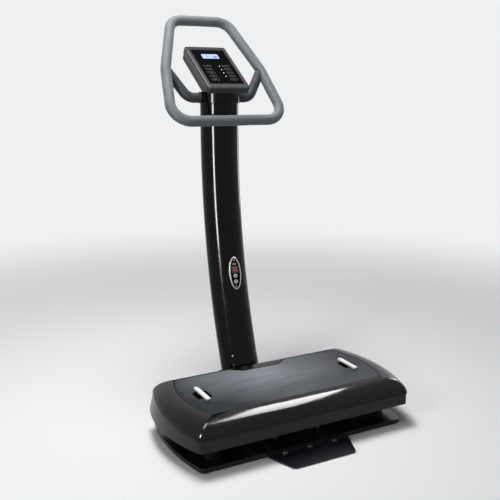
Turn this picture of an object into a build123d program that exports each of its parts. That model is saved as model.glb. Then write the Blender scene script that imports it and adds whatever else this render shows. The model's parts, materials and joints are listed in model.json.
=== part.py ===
from build123d import *
import math
import os

os.makedirs("parts", exist_ok=True)

# Vibration plate. Millimetres, Z up, X across, +Y towards the back.
# Y zero is midway between the tongue's front edge and the back of the handle loop.

# ---- overall ----
overall_height = 1460.0
half_depth = 487.5

# ---- clearances ----
slide_gap = 0.1
seat_gap = 0.3
shaft_gap = 0.05

# ---- base ----
lip_bottom_z = 3.0
plate_bottom_z = 8.0
plate_top_z = 18.0
base_half = 392.0
base_front_y = -379.5
base_depth = 421.0
base_bow = 29.0
base_corner_r = 20.0
base_lip = 8.0
tab_half = 130.0
tab_back_y = 215.0
tab_overlap = 60.0
foot_pad_r = 25.0
foot_pad_inset_x = 52.0
foot_pad_inset_front = 39.5
foot_pad_inset_back = 36.5
keel_bottom_z = 2.0
tongue_half = 119.0
tongue_root_half = 160.0
tongue_root_y = -335.0
keel_half = 110.0
keel_back_y = 203.0
tongue_corner_r = 14.0
keel_notch = 1.0
keel_chamfer = 1.0
bolt_head_r = 9.0
bolt_head_h = 6.0
bolt_shank_r = 5.0
keel_bolt_x = 85.0
keel_bolt_ys = (-300.0, -162.0, -24.0)
tongue_screw_pitch = 97.0
tongue_screw_inset = 11.0
tongue_screw_head_r = 9.5
tongue_screw_head_h = 5.0
glide_r = 14.0

# ---- deck ----
deck_half = 405.0
deck_front_y = -399.5
deck_depth = 411.0
deck_bow = 40.0
deck_corner_r = 18.0
deck_bottom_z = 79.0
seam_front_z = 117.0
seam_back_z = 138.0
deck_top_z = 172.0
shoulder_front = 65.0
shoulder_end = 71.0
shoulder_back = 24.0
shoulder_steps = 6
top_corner_r = 9.0
shell_wall = 4.0
skirt_draft = 2.0
skirt_flare = 15.0
seam_reveal = 1.5
flange_width = 12.0
flange_t = 3.0
flange_edge = 1.0
cover_screw_shares = (0.35, 0.85)
rim_notch_half = 150.0
rim_notch = 11.0
deck_travel = 3.0

mat_gap = 1.5
mat_t = 8.0
mat_notch_half = 118.0
mat_notch = 33.0
mat_notch_round = 45.0
deck_plate_t = 6.0
deck_plate_front = 46.0
deck_plate_end = 46.0
deck_plate_back = 18.0
lip_t = 4.0

post_r = 22.0
isolator_r = 25.0
isolator_top_z = 66.0
isolator_inset_x = 75.0
isolator_inset_front = 79.5
isolator_inset_back = 71.5
isolator_waist_r = 5.0
isolator_waist_out = 2.0
rib_t = 6.0
rib_h = 26.0

cup_inset_x = 107.0
cup_past_middle = 17.0
cup_half_x = 28.0
cup_half_y = 31.0
cup_corner_r = 8.0
cup_floor_z = 140.0
cup_wall = 2.0
bar_length = 113.0
bar_width = 17.0
bar_t = 6.0
bar_lift = 2.0
bar_chamfer = 1.2
bar_post_r = 6.5

# ---- drive motors ----
motor_x = 110.0
motor_past_middle = 4.0
motor_r = 46.0
motor_bore_r = 40.0
motor_drop = 54.0
motor_length = 150.0
motor_wall = 8.0
motor_foot_half_x = 30.0
motor_foot_half_y = 60.0
shaft_r = 10.0
shaft_stub = 28.0
core_r = 37.0
core_length = 110.0
weight_r = 36.0
weight_t = 20.0
weight_offset = 4.0
weight_hub_wall = 3.0
cap_length = 36.0
cap_wall = 3.0

# ---- column ----
column_top_y = 286.5
bend_radius = 2560.0
bend_top_z = 1025.0
column_half_x = 75.0
column_half_y = 66.0
column_wall = 3.0
column_sweep_deg = 26.0
shell_seam = 0.8
mast_half_x = 30.0
mast_half_y = 40.0
mast_wall = 4.0
flange_top_z = 26.0
foot_half_x = 108.0
foot_front_y = 5.0
foot_back_y = 180.0
foot_bolt_x = 94.0
foot_bolt_inset = 20.0
gusset_t = 6.0
gusset_h = 90.0

# ---- collar and handle ----
collar_half_x = 81.0
collar_half_y = 72.0
collar_bottom_z = 1126.0
collar_top_z = 1169.0
collar_wall = 4.0
collar_round = 3.0
arm_z = 1147.0
arm_corner_x = 130.0
arm_bend_r = 48.0
tube_r = 15.0
tube_wall = 2.0
arm_grip_r = 19.0
grip_r = 20.0
grip_bore_gap = 0.05
arm_grip_start = 76.0
loop_angle_deg = 53.0
loop_top_half = 119.0
loop_bend_half = 201.0
loop_bottom_half = 236.0
loop_bottom_z = 1065.0
loop_bend_share = 0.5
loop_top_r = 62.0
loop_bend_r = 180.0
loop_bottom_r = 68.0
loop_split_share = 0.72

# ---- console ----
console_angle_deg = 35.0
console_front_y = 190.5
console_front_z = 1183.0
console_half = 87.5
console_length = 275.8
bezel_t = 24.0
bezel_corner_r = 12.0
bezel_round = 5.0
shell_t = 34.0
shell_screw_low = 198.6
console_shell_inset = 2.0
console_shell_wall = 3.0
console_shell_round = 14.0
panel_half = 70.5
panel_start = 27.0
panel_end = 252.0
panel_corner_r = 5.0
panel_sink = 1.5
panel_t = 4.0
key_x = 38.5
key_width = 30.0
key_height = 13.0
key_rows = 5
key_pitch = 22.0
key_first = 143.0
key_corner_r = 3.0
key_proud = 1.0
key_t = 6.0
led_x = 13.0
led_count = 4
led_r = 1.5
screen_half = 35.0
screen_start = 195.0
screen_end = 225.0
screen_t = 2.0
screen_rim = 8.0
screen_rim_w = 1.5
screen_rim_h = 0.6
board_drop = 10.5
board_t = 1.6
bracket_half_x = 20.0
bracket_t = 10.0

# ---- lower control panel ----
oval_z = 470.0
oval_half_x = 25.0
oval_half_s = 63.0
oval_rim = 5.0
oval_proud = 4.5
oval_depth = 14.0
inset_drop = 1.5
inset_floor = 4.0
display_s = 15.0
display_half_x = 14.0
display_half_s = 13.0
lens_s = 36.0
lens_half_x = 8.0
lens_half_s = 3.0
receiver_s = 50.0
receiver_r = 4.0
lamp_s = -50.0
lamp_r = 3.0
lens_t = 2.0
button_r = 8.0
button_ss = (-10.0, -32.0)
button_proud = 1.5
button_t = 5.0
button_travel = 1.0

# ---- rear electrics and wheels ----
power_front_y = 182.5
power_back_y = 212.5
power_half_x = 48.0
power_top_z = 78.0
power_wall = 3.0
inlet_x = -20.0
inlet_z = 48.0
inlet_half_x = 14.0
inlet_half_z = 11.0
inlet_depth = 18.0
inlet_lip = 2.0
inlet_wall = 2.0
inlet_pin_t = 1.8
inlet_pin_length = 14.4
inlet_pin_pitch = 7.0
inlet_pin_rise = 2.0
rocker_x = 22.0
rocker_half_x = 7.0
rocker_half_z = 11.0
rocker_depth = 9.0
rocker_crown = 3.0
rocker_gap = 1.0
rocker_rest_deg = -6.0
wheel_y = 190.0
wheel_z = 28.0
wheel_r = 25.0
wheel_width = 22.0
wheel_round = 3.6
wheel_recess_r = 17.0
wheel_recess = 2.8
wheel_gap = 4.0
axle_r = 5.0
ear_t = 10.0
ear_half_y = 16.0
ear_top_z = 42.0
axle_head_r = 8.0
axle_head_t = 3.0

# ---- small screws ----
screw_head_r = 4.0
screw_head_h = 2.4
screw_shank_r = 1.6
screw_shank_l = 6.0
front_screw_x = 48.0
front_screw_z = 162.0
rear_screw_zs = (300.0, 650.0, 1000.0)

# ---- places that follow from the sizes above ----
bottom_align = (Align.CENTER, Align.CENTER, Align.MIN)
top_align = (Align.CENTER, Align.CENTER, Align.MAX)
base_back_y = base_front_y + base_depth
deck_back_y = deck_front_y + deck_depth
deck_middle_y = deck_front_y + deck_depth / 2
deck_height = deck_top_z - deck_bottom_z
seam_z = (seam_front_z + seam_back_z) / 2
seam_lean = math.atan2(seam_back_z - seam_front_z, deck_depth)
seam_normal = (0, -math.sin(seam_lean), math.cos(seam_lean))


def bowed_face(plane, front, back, half, bow, radius, flare=0.0):
    """A rectangle with outward bowed ends, its back wider by flare at each end."""
    middle = (front + back) / 2
    side = half + bow + flare / 2
    with BuildSketch(plane) as outline:
        with BuildLine():
            Line((-half, front), (half, front))
            ThreePointArc((half, front), (side, middle), (half + flare, back))
            Line((half + flare, back), (-half - flare, back))
            ThreePointArc((-half - flare, back), (-side, middle), (-half, front))
        make_face()
        fillet(outline.vertices(), radius)
    return outline.sketch


def deck_face(z, front, end, back, radius, lean=0.0, flare=0.0):
    """The deck outline drawn in at its front, ends and back, rising backwards by lean."""
    plane = Plane(
        origin=(0, deck_middle_y, z),
        x_dir=(1, 0, 0),
        z_dir=(0, -math.sin(lean), math.cos(lean)),
    )
    half_depth_here = deck_depth / 2
    bow = deck_bow * (1 - end / deck_half / 2)
    return bowed_face(
        plane, front - half_depth_here, half_depth_here - back, deck_half - end, bow, radius, flare
    )


def arc_lens(z, height, half, depth, edge_y):
    """A lens standing at the deck's back edge, for the forward curve of the rim."""
    with BuildPart() as lens:
        with BuildSketch(Plane.XY.offset(z)):
            with BuildLine():
                ThreePointArc((-half, edge_y), (0, edge_y - depth), (half, edge_y))
                Line((half, edge_y), (half, edge_y + 2 * depth))
                Line((half, edge_y + 2 * depth), (-half, edge_y + 2 * depth))
                Line((-half, edge_y + 2 * depth), (-half, edge_y))
            make_face()
        extrude(amount=height)
    return lens.part


def column_axis_y(z):
    """Y of the column's centre line at height z."""
    drop = max(bend_top_z - z, 0)
    return column_top_y - bend_radius + math.sqrt(bend_radius**2 - drop**2)


def column_tilt(z):
    """Lean of the column's centre line at height z, in degrees."""
    return math.degrees(math.asin(max(bend_top_z - z, 0) / bend_radius))


def bent_wire(points, radii):
    """A line through the points with a tangent arc of the given radius at each inner point."""
    vectors = [Vector(*p) for p in points]
    with BuildLine() as path:
        start = vectors[0]
        for index, radius in enumerate(radii):
            corner = vectors[index + 1]
            before = (vectors[index] - corner).normalized()
            after = (vectors[index + 2] - corner).normalized()
            half_turn = math.acos(before.dot(after)) / 2
            reach = radius / math.tan(half_turn)
            enter = corner + before * reach
            leave = corner + after * reach
            centre = corner + (before + after).normalized() * (radius / math.sin(half_turn))
            middle = centre + (corner - centre).normalized() * radius
            Line(start, enter)
            ThreePointArc(enter, middle, leave)
            start = leave
        Line(start, vectors[-1])
    return path.wire()


def ring_along(wire, outer, inner):
    """A round bar, or a tube where inner is above zero, swept along the wire."""
    with BuildPart() as bar:
        with BuildSketch(Plane(origin=wire @ 0, z_dir=wire % 0)):
            Circle(outer)
            if inner > 0:
                Circle(inner, mode=Mode.SUBTRACT)
        sweep(path=wire)
    return bar.part


def screw_at(point, direction, gap=0.0):
    """One small screw, its head proud of the surface at point; gap widens it into its hole."""
    with BuildPart(Plane(origin=point, z_dir=direction)) as screw:
        with Locations((0, 0, -screw_shank_l)):
            Cylinder(screw_shank_r + gap, screw_shank_l, align=(Align.CENTER, Align.CENTER, Align.MIN))
        if gap == 0:
            Cylinder(screw_head_r, screw_head_h, align=(Align.CENTER, Align.CENTER, Align.MIN))
            fillet(screw.faces().sort_by(Axis((0, 0, 0), direction))[-1].edges(), screw_head_h / 2)
    return screw.part


def save(part, name):
    """Label the node and write its STEP file."""
    part.label = name
    export_step(part, f"parts/{name}.step")


# ================= base =================
corner_feet = [
    (sx * (base_half - foot_pad_inset_x), y)
    for sx in (-1, 1)
    for y in (base_front_y + foot_pad_inset_front, base_back_y - foot_pad_inset_back)
]
keel_bolts_at = [(sx * keel_bolt_x, y) for sx in (-1, 1) for y in keel_bolt_ys]
tongue_screws_at = [
    (n * tongue_screw_pitch, base_front_y - tongue_screw_inset) for n in (-1, 0, 1)
]
foot_bolts_at = [
    (sx * foot_bolt_x, y)
    for sx in (-1, 1)
    for y in (foot_front_y + foot_bolt_inset, foot_back_y - foot_bolt_inset)
]
ear_x = tab_half - ear_t

with BuildSketch(Plane.XY.offset(keel_bottom_z)) as keel_outline:
    with BuildLine():
        Polyline(
            (-tongue_half, -half_depth),
            (tongue_half, -half_depth),
            (tongue_root_half, base_front_y),
            (tongue_root_half, tongue_root_y),
            (keel_half, tongue_root_y),
            (keel_half, keel_back_y),
            (-keel_half, keel_back_y),
            (-keel_half, tongue_root_y),
            (-tongue_root_half, tongue_root_y),
            (-tongue_root_half, base_front_y),
            close=True,
        )
    make_face()
    fillet(keel_outline.vertices().group_by(Axis.Y)[0], tongue_corner_r)

with BuildPart() as keel_plate:
    extrude(to_extrude=keel_outline.sketch, amount=plate_bottom_z - keel_bottom_z)
    with Locations(*[(x, y, keel_bottom_z) for x, y in keel_bolts_at + tongue_screws_at]):
        Cylinder(
            bolt_shank_r + shaft_gap, plate_bottom_z, align=bottom_align, mode=Mode.SUBTRACT
        )
    top_edges = keel_plate.faces().sort_by(Axis.Z)[-1].edges()
    chamfer(top_edges.filter_by(GeomType.LINE), keel_chamfer)
save(keel_plate.part, "keel_plate")

with BuildPart() as base_plate:
    extrude(
        to_extrude=bowed_face(
            Plane.XY.offset(lip_bottom_z),
            base_front_y,
            base_back_y,
            base_half,
            base_bow,
            base_corner_r,
        ),
        amount=plate_top_z - lip_bottom_z,
    )
    extrude(
        to_extrude=bowed_face(
            Plane.XY.offset(lip_bottom_z),
            base_front_y + base_lip,
            base_back_y - base_lip,
            base_half - base_lip,
            base_bow,
            base_corner_r - base_lip,
        ),
        amount=plate_bottom_z - lip_bottom_z,
        mode=Mode.SUBTRACT,
    )
    with Locations((0, base_back_y - tab_overlap, plate_bottom_z)):
        Box(
            2 * tab_half,
            tab_back_y - base_back_y + tab_overlap,
            plate_top_z - plate_bottom_z,
            align=(Align.CENTER, Align.MIN, Align.MIN),
        )
    fillet(base_plate.edges().filter_by(Axis.Z).group_by(Axis.Y)[-1], base_corner_r / 2)
    for side in (-1, 1):
        with Locations((side * (ear_x + ear_t / 2), wheel_y, plate_top_z)):
            Box(ear_t, 2 * ear_half_y, ear_top_z - plate_top_z, align=bottom_align)
    with Locations(Location((0, wheel_y, wheel_z), (0, 90, 0))):
        Cylinder(axle_r + shaft_gap, 3 * tab_half, mode=Mode.SUBTRACT)
    with BuildSketch(Plane.XY.offset(lip_bottom_z)):
        add(keel_outline.face().moved(Location((0, 0, lip_bottom_z - keel_bottom_z))))
        offset(amount=keel_notch)
    extrude(amount=plate_bottom_z - lip_bottom_z, mode=Mode.SUBTRACT)
    with Locations(*[(x, y, 0) for x, y in keel_bolts_at + foot_bolts_at]):
        Cylinder(bolt_shank_r + shaft_gap, 2 * plate_top_z, align=bottom_align, mode=Mode.SUBTRACT)
save(base_plate.part, "base_plate")


def bolts(points, head_z, bottom_z, head_r, head_h):
    """Domed-head bolts at the points, heads on head_z and shanks down to bottom_z."""
    with BuildPart() as group:
        for x, y in points:
            with Locations((x, y, bottom_z)):
                Cylinder(bolt_shank_r, head_z - bottom_z, align=bottom_align)
            with Locations((x, y, head_z)):
                Cylinder(head_r, head_h, align=bottom_align)
        fillet(group.faces().group_by(Axis.Z)[-1].edges(), head_h / 3)
    return group.part


save(bolts(keel_bolts_at, plate_top_z, keel_bottom_z, bolt_head_r, bolt_head_h), "keel_bolts")
save(
    bolts(
        tongue_screws_at, plate_bottom_z, keel_bottom_z, tongue_screw_head_r, tongue_screw_head_h
    ),
    "tongue_screws",
)
save(bolts(foot_bolts_at, flange_top_z, plate_bottom_z, bolt_head_r, bolt_head_h), "foot_bolts")

with BuildPart() as rubber_feet:
    with Locations(*[(x, y, 0) for x, y in corner_feet]):
        Cylinder(foot_pad_r, plate_bottom_z, align=bottom_align)
    with Locations(*[(x, y, 0) for x, y in tongue_screws_at]):
        Cylinder(glide_r, keel_bottom_z, align=bottom_align)
save(rubber_feet.part, "rubber_feet")

# ================= deck =================
isolator_x = deck_half - isolator_inset_x
isolator_ys = (deck_front_y + isolator_inset_front, deck_back_y - isolator_inset_back)
isolators_at = [(sx * isolator_x, y) for sx in (-1, 1) for y in isolator_ys]
cup_x = deck_half - cup_inset_x
cup_y = deck_middle_y + cup_past_middle
plate_z = deck_top_z - mat_t - deck_plate_t
mat_front_y = deck_front_y + shoulder_front + mat_gap
mat_back_y = deck_back_y - shoulder_back - mat_gap
mat_half = deck_half - shoulder_end - mat_gap
mat_bow = deck_bow * (1 - shoulder_end / deck_half / 2)

with BuildPart() as isolator_rubbers:
    with Locations(*[(x, y, plate_top_z) for x, y in isolators_at]):
        Cylinder(isolator_r, isolator_top_z - plate_top_z, align=bottom_align)
    waist_z = (isolator_top_z + plate_top_z) / 2
    with Locations(*[(x, y, waist_z) for x, y in isolators_at]):
        Torus(isolator_r + isolator_waist_out, isolator_waist_r, mode=Mode.SUBTRACT)
save(isolator_rubbers.part, "isolator_rubbers")


def mat_sketch(z, grow):
    """The mat outline grown by an amount, with the notch at the column."""
    face = bowed_face(
        Plane.XY.offset(z),
        mat_front_y - grow,
        mat_back_y + grow,
        mat_half + grow,
        mat_bow,
        top_corner_r,
    )
    notch_half = mat_notch_half - grow
    with BuildSketch(Plane.XY.offset(z)) as outline:
        add(face.face())
        with BuildSketch(Plane.XY.offset(z), mode=Mode.SUBTRACT):
            with BuildLine():
                Polyline(
                    (-notch_half, mat_back_y + 2 * mat_notch),
                    (-notch_half, mat_back_y + grow),
                    (-notch_half + mat_notch_round, mat_back_y - mat_notch + grow),
                    (notch_half - mat_notch_round, mat_back_y - mat_notch + grow),
                    (notch_half, mat_back_y + grow),
                    (notch_half, mat_back_y + 2 * mat_notch),
                    close=True,
                )
            make_face()
    return outline.sketch


def mat_body(z, height, grow):
    """The mat outline as a slab with its notch corners rounded."""
    with BuildPart() as slab:
        extrude(to_extrude=mat_sketch(z, grow), amount=height)
        notch_edges = (
            slab.edges()
            .filter_by(Axis.Z)
            .filter_by(lambda e: abs(e.center().X) < mat_notch_half + grow)
        )
        fillet(notch_edges, mat_notch_round / 2)
    return slab.part


with BuildPart() as cup_cutter:
    for side in (-1, 1):
        with BuildSketch(Plane.XY.offset(cup_floor_z)):
            with Locations((side * cup_x, cup_y)):
                RectangleRounded(2 * cup_half_x, 2 * cup_half_y, cup_corner_r)
        extrude(amount=2 * (deck_top_z - cup_floor_z))

with BuildPart() as deck_frame:
    extrude(
        to_extrude=deck_face(
            plate_z, deck_plate_front, deck_plate_end, deck_plate_back, deck_corner_r
        ),
        amount=deck_plate_t,
    )
    with Locations(*[(x, y, isolator_top_z) for x, y in isolators_at]):
        Cylinder(post_r, plate_z - isolator_top_z, align=bottom_align)
    for rib_y in isolator_ys:
        with Locations((0, rib_y, plate_z)):
            Box(2 * isolator_x, rib_t, rib_h, align=top_align)
    add(
        arc_lens(plate_z, deck_plate_t, rim_notch_half, rim_notch, deck_back_y - deck_plate_back),
        mode=Mode.SUBTRACT,
    )
    add(cup_cutter.part, mode=Mode.SUBTRACT)
save(deck_frame.part, "deck_frame")


def shoulder_faces(wall, drop):
    """Deck outlines from the leaning seam up to the level top, along a rounded shoulder."""
    faces = []
    rise = deck_top_z - seam_z
    for step in range(shoulder_steps + 1):
        turn = math.radians(90 * step / shoulder_steps)
        share = 1 - math.cos(turn)
        z = seam_z + rise * math.sin(turn) - drop * step / shoulder_steps
        radius = deck_corner_r - wall / 2 + (top_corner_r - deck_corner_r) * share
        faces.append(
            deck_face(
                z,
                wall + (shoulder_front - wall) * share,
                wall + (shoulder_end - wall) * share,
                wall + (shoulder_back - wall) * share,
                radius,
                seam_lean * (1 - math.sin(turn)),
            )
        )
    return faces


def rim_curve(back_inset):
    """The rim's forward curve at the column, through the whole height of the deck."""
    return arc_lens(
        deck_bottom_z, 2 * deck_height, rim_notch_half, rim_notch, deck_back_y - back_inset
    )


with BuildPart() as cover_cavity:
    loft(sections=shoulder_faces(shell_wall, shell_wall))
    add(rim_curve(shell_wall), mode=Mode.SUBTRACT)

with BuildPart() as cover_outer:
    loft(sections=shoulder_faces(0, 0))
    add(rim_curve(0), mode=Mode.SUBTRACT)

with BuildPart() as cover_lip:
    add(mat_body(plate_z + deck_plate_t, mat_t, mat_gap + lip_t))
    add(cover_outer.part, mode=Mode.INTERSECT)

def seam_face(inset, radius, drop=0.0):
    """The deck outline on the leaning seam, drawn in all round, or drop below the seam."""
    return deck_face(seam_z - drop, inset, inset, inset, radius, seam_lean)


# the cover's bottom flange and the skirt's top flange lie on each other at the seam
with BuildPart() as flange_ring:
    extrude(to_extrude=seam_face(flange_edge, deck_corner_r), amount=flange_t)
    extrude(
        to_extrude=seam_face(flange_width, top_corner_r), amount=flange_t, mode=Mode.SUBTRACT
    )
    add(rim_curve(seam_reveal), mode=Mode.SUBTRACT)

cover_screw_y = deck_front_y + shell_wall + flange_width / 2
cover_screw_z = seam_z + (cover_screw_y - deck_middle_y) * math.tan(seam_lean)
cover_screws_at = [
    (sx * share * deck_half, cover_screw_y, cover_screw_z)
    for sx in (-1, 1)
    for share in cover_screw_shares
]

with BuildPart() as cover_screw_holes:
    with Locations(*[Plane(origin=spot, z_dir=seam_normal) for spot in cover_screws_at]):
        Cylinder(screw_shank_r + shaft_gap, 4 * flange_t)

with BuildPart() as deck_cover:
    add(cover_outer.part)
    add(cover_cavity.part, mode=Mode.SUBTRACT)
    add(flange_ring.part)
    add(cover_lip.part)
    add(mat_body(plate_z, 4 * mat_t, mat_gap), mode=Mode.SUBTRACT)
    add(cover_screw_holes.part, mode=Mode.SUBTRACT)
save(deck_cover.part, "deck_cover")


def skirt_solid(wall, drop):
    """The deck's lower band as a solid drawn in by wall, up to drop below the seam."""
    low = wall + skirt_draft
    radius = deck_corner_r - wall / 2
    with BuildPart() as band:
        loft(
            sections=[
                deck_face(deck_bottom_z, low, low, low, radius, flare=skirt_flare),
                seam_face(wall + seam_reveal, radius, drop),
            ]
        )
        add(rim_curve(wall + seam_reveal), mode=Mode.SUBTRACT)
    return band.part


with BuildPart() as deck_skirt:
    add(skirt_solid(0, 0))
    add(skirt_solid(shell_wall, flange_t), mode=Mode.SUBTRACT)
    extrude(
        to_extrude=seam_face(flange_width, top_corner_r, flange_t),
        amount=2 * flange_t,
        mode=Mode.SUBTRACT,
    )
    add(cover_screw_holes.part, mode=Mode.SUBTRACT)
save(deck_skirt.part, "deck_skirt")

with BuildPart() as deck_cover_screws:
    for spot in cover_screws_at:
        head_at = Vector(*spot) - Vector(*seam_normal) * flange_t
        add(screw_at(tuple(head_at), tuple(-n for n in seam_normal)))
save(deck_cover_screws.part, "deck_cover_screws")

with BuildPart() as mat:
    add(mat_body(deck_top_z - mat_t, mat_t, 0))
    add(cup_cutter.part, mode=Mode.SUBTRACT)
save(mat.part, "mat")

with BuildPart() as recess_cups:
    for side in (-1, 1):
        with BuildSketch(Plane.XY.offset(cup_floor_z)):
            with Locations((side * cup_x, cup_y)):
                RectangleRounded(
                    2 * (cup_half_x - slide_gap), 2 * (cup_half_y - slide_gap), cup_corner_r
                )
        extrude(amount=deck_top_z - cup_floor_z)
        with BuildSketch(Plane.XY.offset(cup_floor_z + cup_wall)):
            with Locations((side * cup_x, cup_y)):
                RectangleRounded(
                    2 * (cup_half_x - cup_wall), 2 * (cup_half_y - cup_wall), cup_corner_r - cup_wall
                )
        extrude(amount=deck_top_z - cup_floor_z, mode=Mode.SUBTRACT)
save(recess_cups.part, "recess_cups")

bar_post_y = (bar_length - bar_width) / 2
with BuildPart() as strap_bars:
    for side in (-1, 1):
        with BuildSketch(Plane.XY.offset(deck_top_z + bar_lift)):
            with Locations((side * cup_x, cup_y)):
                SlotOverall(bar_length, bar_width, rotation=90)
        extrude(amount=bar_t)
    chamfer(strap_bars.faces().group_by(Axis.Z)[-1].edges(), bar_chamfer)
    for side in (-1, 1):
        for end in (-1, 1):
            with Locations((side * cup_x, cup_y + end * bar_post_y, deck_top_z)):
                Cylinder(bar_post_r, bar_lift, align=bottom_align)
save(strap_bars.part, "strap_bars")

# ================= drive motors =================
motor_y = deck_middle_y + motor_past_middle
motor_z = plate_z - motor_drop
along_y = (-90, 0, 0)


def motor_spot(side, y):
    """A place on a motor's shaft line, with local Z along +Y."""
    return Location((side * motor_x, motor_y + y, motor_z), along_y)


for side, hand in ((-1, "left"), (1, "right")):
    with BuildPart() as motor_housing:
        with Locations((side * motor_x, motor_y, plate_z)):
            Box(2 * motor_foot_half_x, 2 * motor_foot_half_y, motor_drop, align=top_align)
        with Locations(motor_spot(side, 0)):
            Cylinder(motor_r, motor_length)
            Cylinder(motor_bore_r, motor_length - 2 * motor_wall, mode=Mode.SUBTRACT)
            Cylinder(shaft_r + shaft_gap, 2 * motor_length, mode=Mode.SUBTRACT)
    save(motor_housing.part, f"motor_housing_{hand}")

    with BuildPart() as rotor:
        with Locations(motor_spot(side, 0)):
            Cylinder(shaft_r, motor_length + 2 * shaft_stub)
            Cylinder(core_r, core_length)
        weight_y = motor_length / 2 + weight_offset + weight_t / 2
        for end in (-1, 1):
            with Locations(motor_spot(side, end * weight_y)):
                Cylinder(weight_r, weight_t, arc_size=180)
                Cylinder(shaft_r + weight_hub_wall, weight_t)
    save(rotor.part, f"rotor_{hand}")

with BuildPart() as motor_end_caps:
    for side in (-1, 1):
        for end in (-1, 1):
            with Locations(motor_spot(side, end * (motor_length + cap_length) / 2)):
                Cylinder(motor_r, cap_length)
            with Locations(motor_spot(side, end * ((motor_length + cap_length) / 2 - cap_wall))):
                Cylinder(motor_r - cap_wall, cap_length, mode=Mode.SUBTRACT)
save(motor_end_caps.part, "motor_end_caps")

# ================= column =================
bend_axis = Axis((0, column_top_y - bend_radius, bend_top_z), (-1, 0, 0))


def column_sweep(sketch, top_z):
    """A section at the bend's top, carried straight up to top_z and down along the bend."""
    with BuildPart() as body:
        extrude(to_extrude=sketch, amount=top_z - bend_top_z)
        revolve(profiles=sketch.faces(), axis=bend_axis, revolution_arc=column_sweep_deg)
        with Locations((0, 0, flange_top_z)):
            Box(
                8 * column_half_x, 8 * bend_top_z, bend_top_z, align=top_align, mode=Mode.SUBTRACT
            )
    return body.part


def shell_section(side):
    """Half of the column's oval wall: side -1 is the front half, 1 the rear."""
    with BuildSketch(Plane.XY.offset(bend_top_z)) as half:
        with Locations((0, column_top_y)):
            Ellipse(column_half_x, column_half_y)
            Ellipse(column_half_x - column_wall, column_half_y - column_wall, mode=Mode.SUBTRACT)
        with Locations((0, column_top_y - side * (column_half_y - shell_seam / 2))):
            Rectangle(3 * column_half_x, 2 * column_half_y, mode=Mode.SUBTRACT)
    return half.sketch


def surface_depth(side, x):
    """How far the column's front (-1) or rear (1) lies from its middle plane at x."""
    return side * column_half_y * math.sqrt(1 - (x / column_half_x) ** 2)


def surface_point(side, z, x=0.0):
    """The point on the column's front or rear at x, on the cross-section whose middle is at z."""
    tilt = math.radians(column_tilt(z))
    depth = surface_depth(side, x)
    return (x, column_axis_y(z) + depth * math.cos(tilt), z - depth * math.sin(tilt))


def surface_normal(side, z, x=0.0):
    """The outward direction there."""
    tilt = math.radians(column_tilt(z))
    across = x / column_half_x**2
    outward = surface_depth(side, x) / column_half_y**2
    size = math.hypot(across, outward)
    return (
        across / size,
        outward * math.cos(tilt) / size,
        -outward * math.sin(tilt) / size,
    )


shell_screws = [
    (surface_point(-1, front_screw_z, x), surface_normal(-1, front_screw_z, x))
    for x in (-front_screw_x, front_screw_x)
]
shell_screws += [(surface_point(1, z), surface_normal(1, z)) for z in rear_screw_zs]

oval_point = surface_point(-1, oval_z)
oval_plane = Plane(origin=oval_point, x_dir=(1, 0, 0), z_dir=surface_normal(-1, oval_z))

with BuildPart() as oval_opening:
    with BuildSketch(oval_plane.offset(-1.1 * oval_depth)):
        Ellipse(oval_half_x + seat_gap, oval_half_s + seat_gap)
    extrude(amount=3 * oval_depth)

for side, name in ((-1, "column_front_shell"), (1, "column_rear_shell")):
    with BuildPart() as shell:
        add(column_sweep(shell_section(side), collar_bottom_z))
        for point, normal in shell_screws:
            add(screw_at(point, normal, shaft_gap), mode=Mode.SUBTRACT)
        if side < 0:
            add(oval_opening.part, mode=Mode.SUBTRACT)
    save(shell.part, name)

with BuildSketch(Plane.XY.offset(bend_top_z)) as mast_section:
    with Locations((0, column_top_y)):
        RectangleRounded(2 * mast_half_x, 2 * mast_half_y, 2 * mast_wall)
        RectangleRounded(
            2 * (mast_half_x - mast_wall),
            2 * (mast_half_y - mast_wall),
            mast_wall,
            mode=Mode.SUBTRACT,
        )

arm_line = Location((0, column_top_y, arm_z), (0, 90, 0))
with BuildPart() as mast_tube:
    add(column_sweep(mast_section.sketch, arm_z))
    with Locations(arm_line):
        Cylinder(tube_r + grip_bore_gap, 4 * column_half_x, mode=Mode.SUBTRACT)
save(mast_tube.part, "mast_tube")

mast_foot_y = column_axis_y(flange_top_z)
with BuildPart() as mast_foot:
    with BuildSketch(Plane.XY.offset(plate_top_z)):
        with Locations((0, (foot_front_y + foot_back_y) / 2)):
            RectangleRounded(2 * foot_half_x, foot_back_y - foot_front_y, base_corner_r / 2)
    extrude(amount=flange_top_z - plate_top_z)
    with Locations(*[(x, y, plate_top_z) for x, y in foot_bolts_at]):
        Cylinder(bolt_shank_r + shaft_gap, plate_top_z, align=bottom_align, mode=Mode.SUBTRACT)
    for side in (-1, 1):
        with BuildSketch(Plane.YZ.offset(side * (mast_half_x + gusset_t / 2))):
            with BuildLine():
                Polyline(
                    (mast_foot_y - mast_half_y, flange_top_z),
                    (mast_foot_y + mast_half_y, flange_top_z),
                    (column_axis_y(flange_top_z + gusset_h) + gusset_t, flange_top_z + gusset_h),
                    (column_axis_y(flange_top_z + gusset_h) - gusset_t, flange_top_z + gusset_h),
                    close=True,
                )
            make_face()
        extrude(amount=gusset_t / 2, both=True)
save(mast_foot.part, "mast_foot")

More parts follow.
